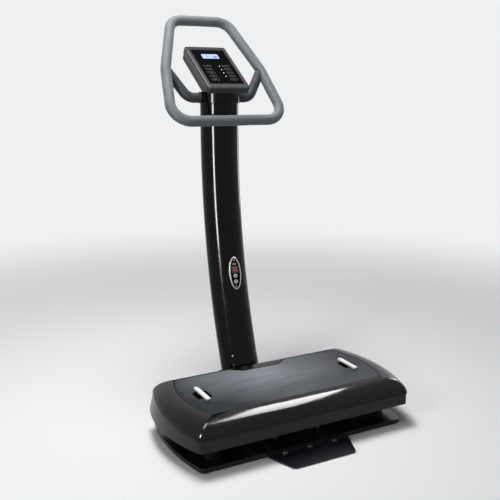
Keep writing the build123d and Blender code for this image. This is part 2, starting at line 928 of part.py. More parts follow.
# ================= collar =================
with BuildPart() as collar_body:
    with BuildSketch(Plane.XY.offset(collar_bottom_z)):
        with Locations((0, column_top_y)):
            Ellipse(collar_half_x, collar_half_y)
    extrude(amount=collar_top_z - collar_bottom_z)
    fillet(collar_body.faces().sort_by(Axis.Z)[0].edges(), collar_round)
    with BuildSketch(Plane.XY.offset(collar_bottom_z + collar_wall)):
        with Locations((0, column_top_y)):
            Ellipse(collar_half_x - collar_wall, collar_half_y - collar_wall)
    extrude(amount=collar_top_z - collar_bottom_z - 2 * collar_wall, mode=Mode.SUBTRACT)
    with Locations((0, column_top_y, collar_bottom_z - 1)):
        Box(
            2 * (mast_half_x + seat_gap),
            2 * (mast_half_y + seat_gap),
            2 * collar_wall,
            align=bottom_align,
            mode=Mode.SUBTRACT,
        )
    with Locations((0, column_top_y, collar_top_z - 2 * collar_wall)):
        Box(
            2 * (bracket_half_x + seat_gap),
            bracket_t + 2 * seat_gap,
            4 * collar_wall,
            align=bottom_align,
            mode=Mode.SUBTRACT,
        )
    with Locations(arm_line):
        Cylinder(arm_grip_r + seat_gap, 4 * column_half_x, mode=Mode.SUBTRACT)

for side, name in ((-1, "collar_front"), (1, "collar_rear")):
    with BuildPart() as collar_half:
        add(collar_body.part)
        with Locations((0, column_top_y - side * (collar_half_y - shell_seam / 2), arm_z)):
            Box(
                3 * collar_half_x, 2 * collar_half_y, 3 * collar_half_x, mode=Mode.SUBTRACT
            )
    save(collar_half.part, name)

# ================= handle loop and arms =================
loop_angle = math.radians(loop_angle_deg)
loop_slope = (overall_height - grip_r - loop_bottom_z) / math.sin(loop_angle)
loop_back_y = half_depth - grip_r
loop_front_y = loop_back_y - loop_slope * math.cos(loop_angle)
loop_bend_s = loop_slope * loop_bend_share
loop_split_s = loop_slope * loop_split_share


def loop_point(x, s):
    """A point on the loop's slanted plane, s up its slope from the bottom bar."""
    return (x, loop_front_y + s * math.cos(loop_angle), loop_bottom_z + s * math.sin(loop_angle))


split_share = (loop_split_s - loop_bend_s) / (loop_slope - loop_bend_s)
split_half = loop_bend_half + (loop_top_half - loop_bend_half) * split_share
lower_wire = bent_wire(
    [
        loop_point(-split_half, loop_split_s),
        loop_point(-loop_bend_half, loop_bend_s),
        loop_point(-loop_bottom_half, 0),
        loop_point(loop_bottom_half, 0),
        loop_point(loop_bend_half, loop_bend_s),
        loop_point(split_half, loop_split_s),
    ],
    [loop_bend_r, loop_bottom_r, loop_bottom_r, loop_bend_r],
)
upper_wire = bent_wire(
    [
        loop_point(split_half, loop_split_s),
        loop_point(loop_top_half, loop_slope),
        loop_point(-loop_top_half, loop_slope),
        loop_point(-split_half, loop_split_s),
    ],
    [loop_top_r, loop_top_r],
)


def loop_body(outer, inner):
    """The whole loop, a bar or a tube of the given radii."""
    with BuildPart() as loop:
        add(ring_along(lower_wire, outer, inner))
        add(ring_along(upper_wire, outer, inner))
    return loop.part


loop_solid = loop_body(grip_r, 0)
loop_steel = loop_body(tube_r, 0)
save(loop_body(tube_r, tube_r - tube_wall), "loop_tube")

arm_wire = bent_wire(
    [
        loop_point(-loop_bend_half, loop_bend_s),
        (-arm_corner_x, column_top_y, arm_z),
        (arm_corner_x, column_top_y, arm_z),
        loop_point(loop_bend_half, loop_bend_s),
    ],
    [arm_bend_r, arm_bend_r],
)

with BuildPart() as loop_grip:
    add(loop_body(grip_r, tube_r + grip_bore_gap))
    add(ring_along(arm_wire, tube_r + grip_bore_gap, 0), mode=Mode.SUBTRACT)
save(loop_grip.part, "loop_grip")

with BuildPart() as arm_tube:
    add(ring_along(arm_wire, tube_r, tube_r - tube_wall))
    add(loop_steel, mode=Mode.SUBTRACT)
save(arm_tube.part, "arm_tube")

arm_foam = ring_along(arm_wire, arm_grip_r, tube_r + grip_bore_gap)
beyond = 4 * loop_bottom_half
for side, name in ((-1, "arm_grip_left"), (1, "arm_grip_right")):
    with BuildPart() as arm_grip:
        add(arm_foam)
        add(loop_solid, mode=Mode.SUBTRACT)
        with Locations((side * (arm_grip_start - beyond / 2), column_top_y, arm_z)):
            Box(beyond, beyond, beyond, mode=Mode.SUBTRACT)
    save(arm_grip.part, name)

# ================= console =================
tilt = math.radians(console_angle_deg)
face_plane = Plane(
    origin=(0, console_front_y, console_front_z),
    x_dir=(1, 0, 0),
    z_dir=(0, -math.sin(tilt), math.cos(tilt)),
)
face_axis = Axis(face_plane.origin, face_plane.z_dir)


def face_slab(u_start, u_end, half, corner, top, bottom):
    """A rounded plate on the console face from u_start to u_end, between two depths."""
    with BuildPart() as slab:
        with BuildSketch(face_plane.offset(bottom)):
            with Locations((0, (u_start + u_end) / 2)):
                RectangleRounded(2 * half, u_end - u_start, corner)
        extrude(amount=top - bottom)
    return slab.part


def key_slab(x, u, grow, top, bottom):
    """One key's outline, grown by an amount, between two depths."""
    with BuildPart() as slab:
        with BuildSketch(face_plane.offset(bottom)):
            with Locations((x, u)):
                RectangleRounded(key_width + 2 * grow, key_height + 2 * grow, key_corner_r + grow)
        extrude(amount=top - bottom)
    return slab.part


keys_at = [
    (side * key_x, key_first - row * key_pitch) for row in range(key_rows) for side in (-1, 1)
]
leds_at = [(led_x, key_first - row * key_pitch) for row in range(led_count)]
shell_corners_at = [
    (sx * (console_half - 2 * bezel_corner_r), u)
    for sx in (-1, 1)
    for u in (shell_screw_low, console_length - 2 * bezel_corner_r)
]
shell_back = bezel_t + shell_t

with BuildPart() as console_bezel:
    add(face_slab(0, console_length, console_half, bezel_corner_r, 0, -bezel_t))
    fillet(console_bezel.faces().sort_by(face_axis)[-1].edges(), bezel_round)
    add(
        face_slab(
            panel_start - seat_gap,
            panel_end + seat_gap,
            panel_half + seat_gap,
            panel_corner_r,
            bezel_t,
            -2 * bezel_t,
        ),
        mode=Mode.SUBTRACT,
    )
save(console_bezel.part, "console_bezel")

def shell_slab(inset, top, bottom, floor_z):
    """A slab under the console face, drawn in by inset and cut off level at floor_z."""
    with BuildPart() as slab:
        add(
            face_slab(
                inset, console_length - inset, console_half - inset, bezel_corner_r, top, bottom
            )
        )
        fillet(slab.faces().sort_by(face_axis)[0].edges(), console_shell_round)
        with Locations((0, column_top_y, floor_z)):
            Box(
                4 * console_half,
                4 * console_length,
                console_length,
                align=top_align,
                mode=Mode.SUBTRACT,
            )
    return slab.part


shell_outside = shell_slab(console_shell_inset, -bezel_t, -shell_back, collar_top_z)
shell_inside = shell_slab(
    console_shell_inset + console_shell_wall,
    0,
    -shell_back + console_shell_wall,
    collar_top_z + console_shell_wall,
)

with BuildPart() as console_shell:
    add(shell_outside)
    add(shell_inside, mode=Mode.SUBTRACT)
    with Locations((0, column_top_y, collar_bottom_z)):
        Box(
            2 * (bracket_half_x + seat_gap),
            bracket_t + 2 * seat_gap,
            2 * (collar_top_z - collar_bottom_z),
            align=bottom_align,
            mode=Mode.SUBTRACT,
        )
    for x, u in shell_corners_at:
        point = face_plane.offset(-shell_back).from_local_coords((x, u, 0))
        add(screw_at(point, -face_plane.z_dir, shaft_gap), mode=Mode.SUBTRACT)
save(console_shell.part, "console_shell")

board_top = -board_drop
with BuildPart() as console_board:
    add(
        face_slab(
            panel_start, panel_end, panel_half, panel_corner_r, board_top, board_top - board_t
        )
    )
save(console_board.part, "console_board")

with BuildPart() as console_bracket:
    with Locations((0, column_top_y, arm_z)):
        Box(2 * bracket_half_x, bracket_t, console_length, align=bottom_align)
    with Locations(arm_line):
        Cylinder(tube_r + grip_bore_gap, 4 * bracket_half_x, mode=Mode.SUBTRACT)
    with BuildSketch(face_plane.offset(board_top - board_t)):
        Rectangle(4 * console_length, 4 * console_length)
    extrude(amount=2 * console_length, mode=Mode.SUBTRACT)
save(console_bracket.part, "console_bracket")

panel_bottom = -panel_sink - panel_t
with BuildPart() as console_panel:
    add(
        face_slab(panel_start, panel_end, panel_half, panel_corner_r, -panel_sink, panel_bottom)
    )
    add(
        face_slab(
            screen_start - screen_rim,
            screen_end + screen_rim,
            screen_half + screen_rim,
            key_corner_r,
            -panel_sink + screen_rim_h,
            -panel_sink,
        )
    )
    add(
        face_slab(
            screen_start - screen_rim + screen_rim_w,
            screen_end + screen_rim - screen_rim_w,
            screen_half + screen_rim - screen_rim_w,
            key_corner_r - screen_rim_w,
            0,
            -panel_sink,
        ),
        mode=Mode.SUBTRACT,
    )
    add(
        face_slab(screen_start, screen_end, screen_half, key_corner_r, 0, -panel_sink - screen_t),
        mode=Mode.SUBTRACT,
    )
    for x, u in keys_at:
        add(key_slab(x, u, slide_gap, 0, 2 * panel_bottom), mode=Mode.SUBTRACT)
    with BuildSketch(face_plane.offset(2 * panel_bottom)):
        with Locations(*leds_at):
            Circle(led_r + shaft_gap)
    extrude(amount=-3 * panel_bottom, mode=Mode.SUBTRACT)
save(console_panel.part, "console_panel")

with BuildPart() as console_screen:
    add(
        face_slab(
            screen_start + slide_gap,
            screen_end - slide_gap,
            screen_half - slide_gap,
            key_corner_r,
            -panel_sink,
            -panel_sink - screen_t,
        )
    )
save(console_screen.part, "console_screen")

with BuildPart() as console_leds:
    with BuildSketch(face_plane.offset(panel_bottom)):
        with Locations(*leds_at):
            Circle(led_r)
    extrude(amount=panel_t + screen_rim_h)
save(console_leds.part, "console_leds")

for number, (x, u) in enumerate(keys_at, start=1):
    with BuildPart() as key:
        add(key_slab(x, u, 0, key_proud - panel_sink, key_proud - panel_sink - key_t))
        top_face = key.faces().sort_by(face_axis)[-1]
        fillet(top_face.edges(), key_proud / 2)
    save(key.part, f"console_key_{number:02d}")

# ================= lower control panel =================
inset_top = oval_proud - inset_drop
oval_axis = Axis(oval_plane.origin, oval_plane.z_dir)


def oval_spot(x, s, depth):
    """A place on the oval panel, s up its length, with local Z along the panel's normal."""
    return oval_plane.location * Location((x, s, depth))


with BuildPart() as lower_panel_bezel:
    with BuildSketch(oval_plane.offset(-oval_depth)):
        Ellipse(oval_half_x, oval_half_s)
    extrude(amount=oval_depth + oval_proud)
    fillet(lower_panel_bezel.faces().sort_by(oval_axis)[-1].edges(), oval_rim / 3)
    with BuildSketch(oval_plane.offset(-oval_depth + inset_floor)):
        Ellipse(oval_half_x - oval_rim, oval_half_s - oval_rim)
    extrude(amount=2 * oval_depth, mode=Mode.SUBTRACT)
save(lower_panel_bezel.part, "lower_panel_bezel")

with BuildPart() as lower_panel_inset:
    with BuildSketch(oval_plane.offset(-oval_depth + inset_floor)):
        Ellipse(oval_half_x - oval_rim - slide_gap, oval_half_s - oval_rim - slide_gap)
    extrude(amount=oval_depth - inset_floor + inset_top)
    well = button_t - button_proud + 2 * button_travel
    for s in button_ss:
        with Locations(oval_spot(0, s, inset_top)):
            Cylinder(button_r + shaft_gap, well, align=top_align, mode=Mode.SUBTRACT)
    with Locations(oval_spot(0, display_s, inset_top)):
        Box(
            2 * display_half_x, 2 * display_half_s, lens_t, align=top_align, mode=Mode.SUBTRACT
        )
    with Locations(oval_spot(0, lens_s, inset_top)):
        Box(2 * lens_half_x, 2 * lens_half_s, lens_t, align=top_align, mode=Mode.SUBTRACT)
    for s, radius in ((receiver_s, receiver_r), (lamp_s, lamp_r)):
        with Locations(oval_spot(0, s, inset_top)):
            Cylinder(radius, lens_t, align=top_align, mode=Mode.SUBTRACT)
save(lower_panel_inset.part, "lower_panel_inset")

with BuildPart() as lower_display:
    with Locations(oval_spot(0, display_s, inset_top - lens_t)):
        Box(
            2 * (display_half_x - slide_gap),
            2 * (display_half_s - slide_gap),
            lens_t + slide_gap,
            align=bottom_align,
        )
save(lower_display.part, "lower_display")

with BuildPart() as lower_lenses:
    with Locations(oval_spot(0, lens_s, inset_top - lens_t)):
        Box(
            2 * (lens_half_x - slide_gap),
            2 * (lens_half_s - slide_gap),
            lens_t + slide_gap,
            align=bottom_align,
        )
    for s, radius in ((receiver_s, receiver_r), (lamp_s, lamp_r)):
        with Locations(oval_spot(0, s, inset_top - lens_t)):
            Cylinder(radius - slide_gap, lens_t + inset_drop / 2, align=bottom_align)
save(lower_lenses.part, "lower_lenses")

for s, name in zip(button_ss, ("panel_button_upper", "panel_button_lower")):
    with BuildPart() as button:
        with Locations(oval_spot(0, s, inset_top + button_proud - button_t)):
            Cylinder(button_r, button_t, align=bottom_align)
        top_face = button.faces().sort_by(oval_axis)[-1]
        fillet(top_face.edges(), button_proud / 2)
    save(button.part, name)

# ================= rear electrics =================
power_middle_y = (power_front_y + power_back_y) / 2
power_screw_x = power_half_x - 2 * screw_head_r
power_screw_z = power_top_z - 2 * screw_head_r
power_screws = [((sx * power_screw_x, power_back_y, power_screw_z), (0, 1, 0)) for sx in (-1, 1)]
with BuildPart() as power_box:
    with Locations((0, power_middle_y, plate_top_z)):
        Box(
            2 * power_half_x,
            power_back_y - power_front_y,
            power_top_z - plate_top_z,
            align=bottom_align,
        )
    fillet(power_box.edges().filter_by(Axis.Z), power_wall)
    fillet(power_box.faces().sort_by(Axis.Z)[-1].edges(), power_wall / 2)
    with Locations((0, power_middle_y, plate_top_z)):
        Box(
            2 * (power_half_x - power_wall),
            power_back_y - power_front_y - 2 * power_wall,
            power_top_z - plate_top_z - power_wall,
            align=bottom_align,
            mode=Mode.SUBTRACT,
        )
    with Locations((inlet_x, power_back_y, inlet_z)):
        Box(
            2 * (inlet_half_x + slide_gap),
            4 * power_wall,
            2 * (inlet_half_z + slide_gap),
            mode=Mode.SUBTRACT,
        )
    with Locations((rocker_x, power_back_y, inlet_z)):
        Box(
            2 * (rocker_half_x + seat_gap),
            4 * power_wall,
            2 * (rocker_half_z + rocker_gap),
            mode=Mode.SUBTRACT,
        )
    for point, direction in power_screws:
        add(screw_at(point, direction, shaft_gap), mode=Mode.SUBTRACT)
save(power_box.part, "power_box")

ahead = (Align.CENTER, Align.MAX, Align.CENTER)
behind = (Align.CENTER, Align.MIN, Align.CENTER)
inlet_floor_y = power_back_y - inlet_depth
with BuildPart() as mains_inlet:
    with Locations((inlet_x, power_back_y, inlet_z)):
        Box(2 * inlet_half_x, inlet_depth + inlet_wall, 2 * inlet_half_z, align=ahead)
        Box(
            2 * (inlet_half_x + inlet_lip),
            inlet_lip / 2,
            2 * (inlet_half_z + inlet_lip),
            align=behind,
        )
        Box(
            2 * (inlet_half_x - inlet_lip),
            2 * inlet_depth,
            2 * (inlet_half_z - inlet_lip),
            mode=Mode.SUBTRACT,
        )
    with Locations((inlet_x, inlet_floor_y, inlet_z)):
        Box(2 * inlet_half_x, inlet_wall, 2 * inlet_half_z, align=ahead)
    for step, rise in ((-1, inlet_pin_rise), (0, -inlet_pin_rise), (1, inlet_pin_rise)):
        with Locations((inlet_x + step * inlet_pin_pitch, inlet_floor_y, inlet_z + rise)):
            Box(inlet_pin_t, inlet_pin_length, 2 * inlet_pin_t, align=behind)
save(mains_inlet.part, "mains_inlet")

with BuildPart() as rocker_switch:
    with BuildSketch(Plane.YZ.offset(rocker_x - rocker_half_x)):
        with BuildLine():
            Polyline(
                (power_back_y, inlet_z - rocker_half_z),
                (power_back_y - rocker_depth, inlet_z - rocker_half_z / 2),
                (power_back_y - rocker_depth, inlet_z + rocker_half_z / 2),
                (power_back_y, inlet_z + rocker_half_z),
            )
            ThreePointArc(
                (power_back_y, inlet_z + rocker_half_z),
                (power_back_y + rocker_crown, inlet_z),
                (power_back_y, inlet_z - rocker_half_z),
            )
        make_face()
    extrude(amount=2 * rocker_half_x)
rocker_pivot = Axis((0, power_back_y - rocker_depth / 2, inlet_z), (1, 0, 0))
save(rocker_switch.part.rotate(rocker_pivot, rocker_rest_deg), "rocker_switch")

# ================= transport wheels =================
wheel_inner_x = tab_half + wheel_gap
wheel_middle_x = wheel_inner_x + wheel_width / 2
axle_end_x = wheel_inner_x + wheel_width + seat_gap
along_x = (0, 90, 0)
for side, name in ((-1, "wheel_left"), (1, "wheel_right")):
    with BuildPart() as wheel:
        with Locations(Location((side * wheel_middle_x, wheel_y, wheel_z), along_x)):
            Cylinder(wheel_r, wheel_width)
            fillet(wheel.edges(), wheel_round)
            Cylinder(axle_r + shaft_gap, 2 * wheel_width, mode=Mode.SUBTRACT)
        with Locations(
            Location((side * (wheel_middle_x + wheel_width / 2), wheel_y, wheel_z), along_x)
        ):
            Cylinder(wheel_recess_r, 2 * wheel_recess, mode=Mode.SUBTRACT)
            Cylinder(axle_head_r, 2 * wheel_recess)
            Cylinder(axle_r + shaft_gap, wheel_width, mode=Mode.SUBTRACT)
    save(wheel.part, name)

with BuildPart() as wheel_axles:
    for side in (-1, 1):
        inner = side * (ear_x - axle_head_t)
        outer = side * (axle_end_x + wheel_recess)
        with Locations(Location(((inner + outer) / 2, wheel_y, wheel_z), along_x)):
            Cylinder(axle_r, abs(outer - inner))
        with Locations(Location((outer + side * axle_head_t / 2, wheel_y, wheel_z), along_x)):
            Cylinder(axle_head_r, axle_head_t)
        with Locations(Location((inner + side * axle_head_t / 2, wheel_y, wheel_z), along_x)):
            Cylinder(axle_head_r, axle_head_t)
save(wheel_axles.part, "wheel_axles")

# ================= housing screws =================
with BuildPart() as housing_screws:
    for point, normal in shell_screws + power_screws:
        add(screw_at(point, normal))
    for x, u in shell_corners_at:
        point = face_plane.offset(-shell_back).from_local_coords((x, u, 0))
        add(screw_at(point, -face_plane.z_dir))
save(housing_screws.part, "housing_screws")
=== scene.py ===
import json
import math

import bmesh
import bpy
from mathutils import Matrix, Vector


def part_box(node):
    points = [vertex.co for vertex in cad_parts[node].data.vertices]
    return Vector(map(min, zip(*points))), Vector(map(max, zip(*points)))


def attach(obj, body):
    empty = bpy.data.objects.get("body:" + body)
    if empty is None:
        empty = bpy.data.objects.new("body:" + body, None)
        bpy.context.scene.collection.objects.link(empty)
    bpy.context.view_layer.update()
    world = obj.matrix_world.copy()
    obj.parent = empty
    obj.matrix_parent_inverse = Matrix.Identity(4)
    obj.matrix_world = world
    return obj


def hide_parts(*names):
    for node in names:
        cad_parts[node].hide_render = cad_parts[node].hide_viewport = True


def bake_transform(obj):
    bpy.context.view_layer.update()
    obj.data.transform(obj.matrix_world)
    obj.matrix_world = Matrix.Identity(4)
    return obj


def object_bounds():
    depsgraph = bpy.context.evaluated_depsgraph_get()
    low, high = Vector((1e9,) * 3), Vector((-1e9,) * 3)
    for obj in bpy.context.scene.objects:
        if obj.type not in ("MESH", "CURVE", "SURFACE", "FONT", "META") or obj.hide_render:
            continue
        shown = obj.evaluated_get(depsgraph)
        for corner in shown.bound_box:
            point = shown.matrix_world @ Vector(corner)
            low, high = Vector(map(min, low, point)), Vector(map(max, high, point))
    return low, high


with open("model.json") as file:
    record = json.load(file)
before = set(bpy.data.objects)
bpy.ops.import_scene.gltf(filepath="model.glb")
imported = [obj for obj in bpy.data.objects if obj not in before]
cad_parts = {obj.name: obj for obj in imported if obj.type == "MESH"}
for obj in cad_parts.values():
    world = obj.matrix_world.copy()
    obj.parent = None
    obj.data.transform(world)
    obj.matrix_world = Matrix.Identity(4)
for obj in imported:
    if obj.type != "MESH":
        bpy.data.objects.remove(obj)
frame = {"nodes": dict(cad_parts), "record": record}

cad_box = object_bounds()
nodes = frame["nodes"]
mm = 0.001

# ---------------------------------------------------------------- materials


class Shader:
    """A Principled material with procedural colour, roughness and relief on object coordinates."""

    def __init__(self, name, color, rough, metallic=0.0, shine=0.5):
        self.material = bpy.data.materials.new(name)
        self.material.use_nodes = True
        self.tree = self.material.node_tree
        self.tree.nodes.clear()
        output = self.tree.nodes.new("ShaderNodeOutputMaterial")
        self.bsdf = self.tree.nodes.new("ShaderNodeBsdfPrincipled")
        self.link(self.bsdf.outputs[0], output.inputs["Surface"])
        self.coords = self.tree.nodes.new("ShaderNodeTexCoord").outputs["Object"]
        self.rough = rough
        self.bsdf.inputs["Base Color"].default_value = (*color, 1)
        self.bsdf.inputs["Roughness"].default_value = rough
        self.bsdf.inputs["Metallic"].default_value = metallic
        self.bsdf.inputs["Specular IOR Level"].default_value = shine
        self.normal = None

    def link(self, source, target):
        self.tree.links.new(source, target)

    def scaled(self, scale):
        """Object coordinates stretched by a factor per axis."""
        mapping = self.tree.nodes.new("ShaderNodeMapping")
        mapping.inputs["Scale"].default_value = scale
        self.link(self.coords, mapping.inputs["Vector"])
        return mapping.outputs[0]

    def noise(self, scale, detail=4.0, stretch=None):
        """Cloudy variation, with scale features to the metre."""
        node = self.tree.nodes.new("ShaderNodeTexNoise")
        node.inputs["Scale"].default_value = scale
        node.inputs["Detail"].default_value = detail
        self.link(self.scaled(stretch) if stretch else self.coords, node.inputs["Vector"])
        return node.outputs["Fac"]

    def cells(self, scale):
        """Grain like pores or pebbles, with scale cells to the metre."""
        node = self.tree.nodes.new("ShaderNodeTexVoronoi")
        node.inputs["Scale"].default_value = scale
        self.link(self.coords, node.inputs["Vector"])
        return node.outputs["Distance"]

    def pool(self, centre, reach):
        """A soft spot: 1 at centre, fading to 0 at reach along each axis."""
        mapping = self.tree.nodes.new("ShaderNodeMapping")
        mapping.inputs["Location"].default_value = [-c / r for c, r in zip(centre, reach)]
        mapping.inputs["Scale"].default_value = [1 / r for r in reach]
        self.link(self.coords, mapping.inputs["Vector"])
        node = self.tree.nodes.new("ShaderNodeTexGradient")
        node.gradient_type = "SPHERICAL"
        self.link(mapping.outputs[0], node.inputs["Vector"])
        return node.outputs["Fac"]

    def spread(self, fac, low_value, high_value, start=0.3, end=0.7):
        """A factor's stretch from start to end, turned into low_value to high_value."""
        node = self.tree.nodes.new("ShaderNodeMapRange")
        node.inputs["From Min"].default_value = start
        node.inputs["From Max"].default_value = end
        node.inputs["To Min"].default_value = low_value
        node.inputs["To Max"].default_value = high_value
        self.link(fac, node.inputs["Value"])
        return node.outputs["Result"]

    def tint(self, fac, other, start=0.3, end=0.7):
        """Blend the base colour towards another where the factor is high."""
        mix = self.tree.nodes.new("ShaderNodeMix")
        mix.data_type = "RGBA"
        self.link(self.spread(fac, 0.0, 1.0, start, end), mix.inputs["Factor"])
        source = self.bsdf.inputs["Base Color"]
        if source.is_linked:
            self.link(source.links[0].from_socket, mix.inputs["A"])
        else:
            mix.inputs["A"].default_value = source.default_value
        mix.inputs["B"].default_value = (*other, 1)
        self.link(mix.outputs["Result"], source)

    def vary_rough(self, fac, amount):
        """Let the roughness wander either side of its value."""
        value = self.spread(fac, max(self.rough - amount, 0.02), self.rough + amount)
        self.link(value, self.bsdf.inputs["Roughness"])

    def relief(self, fac, depth, strength):
        """A bump of a depth in metres, added to the relief already there."""
        bump = self.tree.nodes.new("ShaderNodeBump")
        bump.inputs["Distance"].default_value = depth
        bump.inputs["Strength"].default_value = strength
        self.link(fac, bump.inputs["Height"])
        if self.normal is not None:
            self.link(self.normal, bump.inputs["Normal"])
        self.normal = bump.outputs[0]
        self.link(self.normal, self.bsdf.inputs["Normal"])

    def sheen(self, weight):
        self.bsdf.inputs["Sheen Weight"].default_value = weight

    def glow(self, color, strength):
        self.bsdf.inputs["Emission Color"].default_value = (*color, 1)
        self.bsdf.inputs["Emission Strength"].default_value = strength


def shade(color, factor, lift=0.0):
    """A colour made lighter or darker by a factor."""
    return [c * factor + lift for c in color]


def gloss_plastic(name, color, rough, shine):
    """Polished moulding or paint, with a faint ripple in its reflections."""
    s = Shader(name, color, rough, shine=shine)
    s.vary_rough(s.noise(9.0, 3.0), 0.03)
    s.tint(s.noise(2.2, 2.0), shade(color, 1.5, 0.002))
    s.relief(s.noise(140.0, 2.0), depth=0.000008, strength=0.4)
    s.relief(s.noise(900.0, 2.0), depth=0.000005, strength=0.3)
    return s


def grained_plastic(name, color, rough, shine=0.3):
    """Moulding with a fine textured surface."""
    s = Shader(name, color, rough, shine=shine)
    s.vary_rough(s.noise(25.0), 0.06)
    s.tint(s.noise(6.0), shade(color, 1.3))
    s.relief(s.cells(1400.0), depth=0.00008, strength=0.6)
    return s


def bare_metal(name, color, rough):
    """Metal with brushing that runs level round it."""
    s = Shader(name, color, rough, metallic=1.0)
    s.vary_rough(s.noise(40.0), 0.08)
    s.tint(s.noise(70.0), shade(color, 0.8))
    s.relief(s.noise(400.0, 2.0, (1.0, 1.0, 12.0)), depth=0.00004, strength=0.4)
    return s


def rubber(name, color, rough, grain, depth, shine=0.25):
    """Pebbled rubber, with grain pebbles to the metre."""
    s = Shader(name, color, rough, shine=shine)
    s.vary_rough(s.noise(12.0), 0.08)
    s.tint(s.noise(5.0, 6.0), shade(color, 1.25))
    s.relief(s.cells(grain), depth, strength=0.8)
    s.sheen(0.03)
    return s


def foam(name, color, rough):
    """Open foam: pores and a fine tooth, with lighter patches, dark flecks and a soft sheen."""
    s = Shader(name, color, rough, shine=0.3)
    s.vary_rough(s.noise(30.0), 0.07)
    s.tint(s.noise(7.0, 5.0), shade(color, 1.22))
    s.tint(s.noise(220.0, 3.0), shade(color, 0.82), 0.45, 0.75)
    s.relief(s.cells(650.0), depth=0.00022, strength=0.7)
    s.relief(s.noise(1800.0, 2.0), depth=0.00008, strength=0.5)
    s.sheen(0.25)
    s.bsdf.inputs["Sheen Roughness"].default_value = 0.4
    return s


def lit_panel(name, color, glow, strength):
    """A window that is lit from behind."""
    s = Shader(name, color, 0.18, shine=0.3)
    s.tint(s.noise(40.0), shade(color, 0.9))
    s.glow(glow, strength)
    return s


# slot: (recipe, colour, then what else the recipe takes, in its own order)
recipes = {
    "black_steel": (gloss_plastic, (0.0035, 0.0045, 0.007), 0.24, 0.30),
    "plate_steel": (gloss_plastic, (0.005, 0.005, 0.005), 0.16, 0.48),
    "zinc_screw": (bare_metal, (0.07, 0.07, 0.075), 0.40),
    "raw_steel": (bare_metal, (0.30, 0.30, 0.31), 0.36),
    # black rubber, set darker than its own colour as painted shade, for isolators that sit in the
    # shadow under the deck
    "black_rubber": (rubber, (0.0035, 0.0035, 0.0035), 0.7, 700.0, 0.00015, 0.1),
    "mat_rubber": (rubber, (0.008, 0.010, 0.014), 0.42, 900.0, 0.00010, 0.08),
    "foam_grip": (foam, (0.125, 0.141, 0.148), 0.58),
    # arm foam: the same foam as the grip, painted darker as shade on the arms
    "arm_foam": (foam, (0.030, 0.034, 0.040), 0.60),
    "gloss_black": (gloss_plastic, (0.0013, 0.0016, 0.0011), 0.11, 0.11),
    "skirt_black": (gloss_plastic, (0.018, 0.018, 0.014), 0.24, 0.20),
    "collar_black": (gloss_plastic, (0.0010, 0.0010, 0.0010), 0.16, 0.10),
    "bezel_grey": (grained_plastic, (0.022, 0.024, 0.027), 0.30, 0.34),
    "shell_dark": (grained_plastic, (0.010, 0.010, 0.009), 0.34, 0.22),
    "panel_black": (gloss_plastic, (0.0005, 0.0005, 0.0006), 0.14, 0.012),
    "key_black": (grained_plastic, (0.0025, 0.0025, 0.003), 0.42, 0.04),
    "lit_screen": (lit_panel, (0.27, 0.36, 0.61), (0.45, 0.62, 1.0), 0.20),
    "lit_lamp": (lit_panel, (0.8, 0.85, 1.0), (0.9, 0.95, 1.0), 1.0),
    "lit_display": (lit_panel, (0.085, 0.024, 0.026), (0.30, 0.08, 0.09), 0.12),
    "lens_clear": (gloss_plastic, (0.34, 0.36, 0.34), 0.16, 0.5),
    "silver_plastic": (bare_metal, (0.36, 0.365, 0.335), 0.32),
    "button_grey": (grained_plastic, (0.60, 0.62, 0.60), 0.40),
    "strap_bar": (grained_plastic, (0.70, 0.71, 0.71), 0.36),
    "motor_metal": (bare_metal, (0.16, 0.17, 0.18), 0.52),
    "board_green": (grained_plastic, (0.015, 0.07, 0.03), 0.4),
    "black_plastic": (grained_plastic, (0.004, 0.004, 0.005), 0.42, 0.2),
    "wheel_rubber": (rubber, (0.010, 0.010, 0.010), 0.62, 800.0, 0.00012),
}
surfaces = {slot: make(slot, *look) for slot, (make, *look) in recipes.items()}

# the mat has a paler middle, a painted sheen that stands in for reflected light, and streaks along
# its length
mat = surfaces["mat_rubber"]
mat_painted_sheen = mat.pool(centre=(-0.03, -0.08, 0.17), reach=(0.35, 0.27, 0.2))
mat.tint(mat_painted_sheen, (0.245, 0.255, 0.285), 0.02, 0.85)
mat.tint(mat.noise(2.6, 5.0, (0.8, 5.0, 1.0)), (0.034, 0.039, 0.048), 0.5, 0.9)
mat.tint(mat.noise(7.0, 6.0, (0.5, 7.0, 1.0)), (0.030, 0.034, 0.042), 0.5, 1.0)

# finishes that share a slot with another one
key_ink = grained_plastic("key_ink", (0.10, 0.105, 0.11), 0.45)
screen_ink = grained_plastic("screen_ink", (0.03, 0.05, 0.16), 0.4)
display_glow = lit_panel("display_glow", (0.42, 0.24, 0.24), (1.0, 0.45, 0.45), 0.10)
deck_gloss = gloss_plastic("deck_gloss", (0.0016, 0.0018, 0.0018), 0.13, 0.19)

slot_of = {entry["node"]: entry["material_slot"] for entry in frame["record"]["subparts"]}
for node_name, node in nodes.items():
    shader = deck_gloss if node_name == "deck_cover" else surfaces[slot_of[node_name]]
    if not node.material_slots:
        node.data.materials.append(shader.material)
    for place in node.material_slots:
        place.material = shader.material

# ---------------------------------------------------------------- helpers for new pieces


def linked(name, data):
    """A new object in the scene that holds a mesh, a camera or a light."""
    thing = bpy.data.objects.new(name, data)
    bpy.context.scene.collection.objects.link(thing)
    return thing


def copy_of(node_name, name):
    """A new piece with a copy of a CAD node's mesh."""
    return linked(name, nodes[node_name].data.copy())


def piece_from(name, shape):
    """A new piece from a bmesh, which is used up."""
    mesh = bpy.data.meshes.new(name)
    shape.to_mesh(mesh)
    shape.free()
    return linked(name, mesh)


def dress(piece, slot, body, shader=None):
    """Give a new piece its material, the slot's own unless a shader is given, and the body it
    rides on.
    """
    piece.data.materials.clear()
    piece.data.materials.append((shader or surfaces[slot]).material)
    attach(piece, body)
    return piece


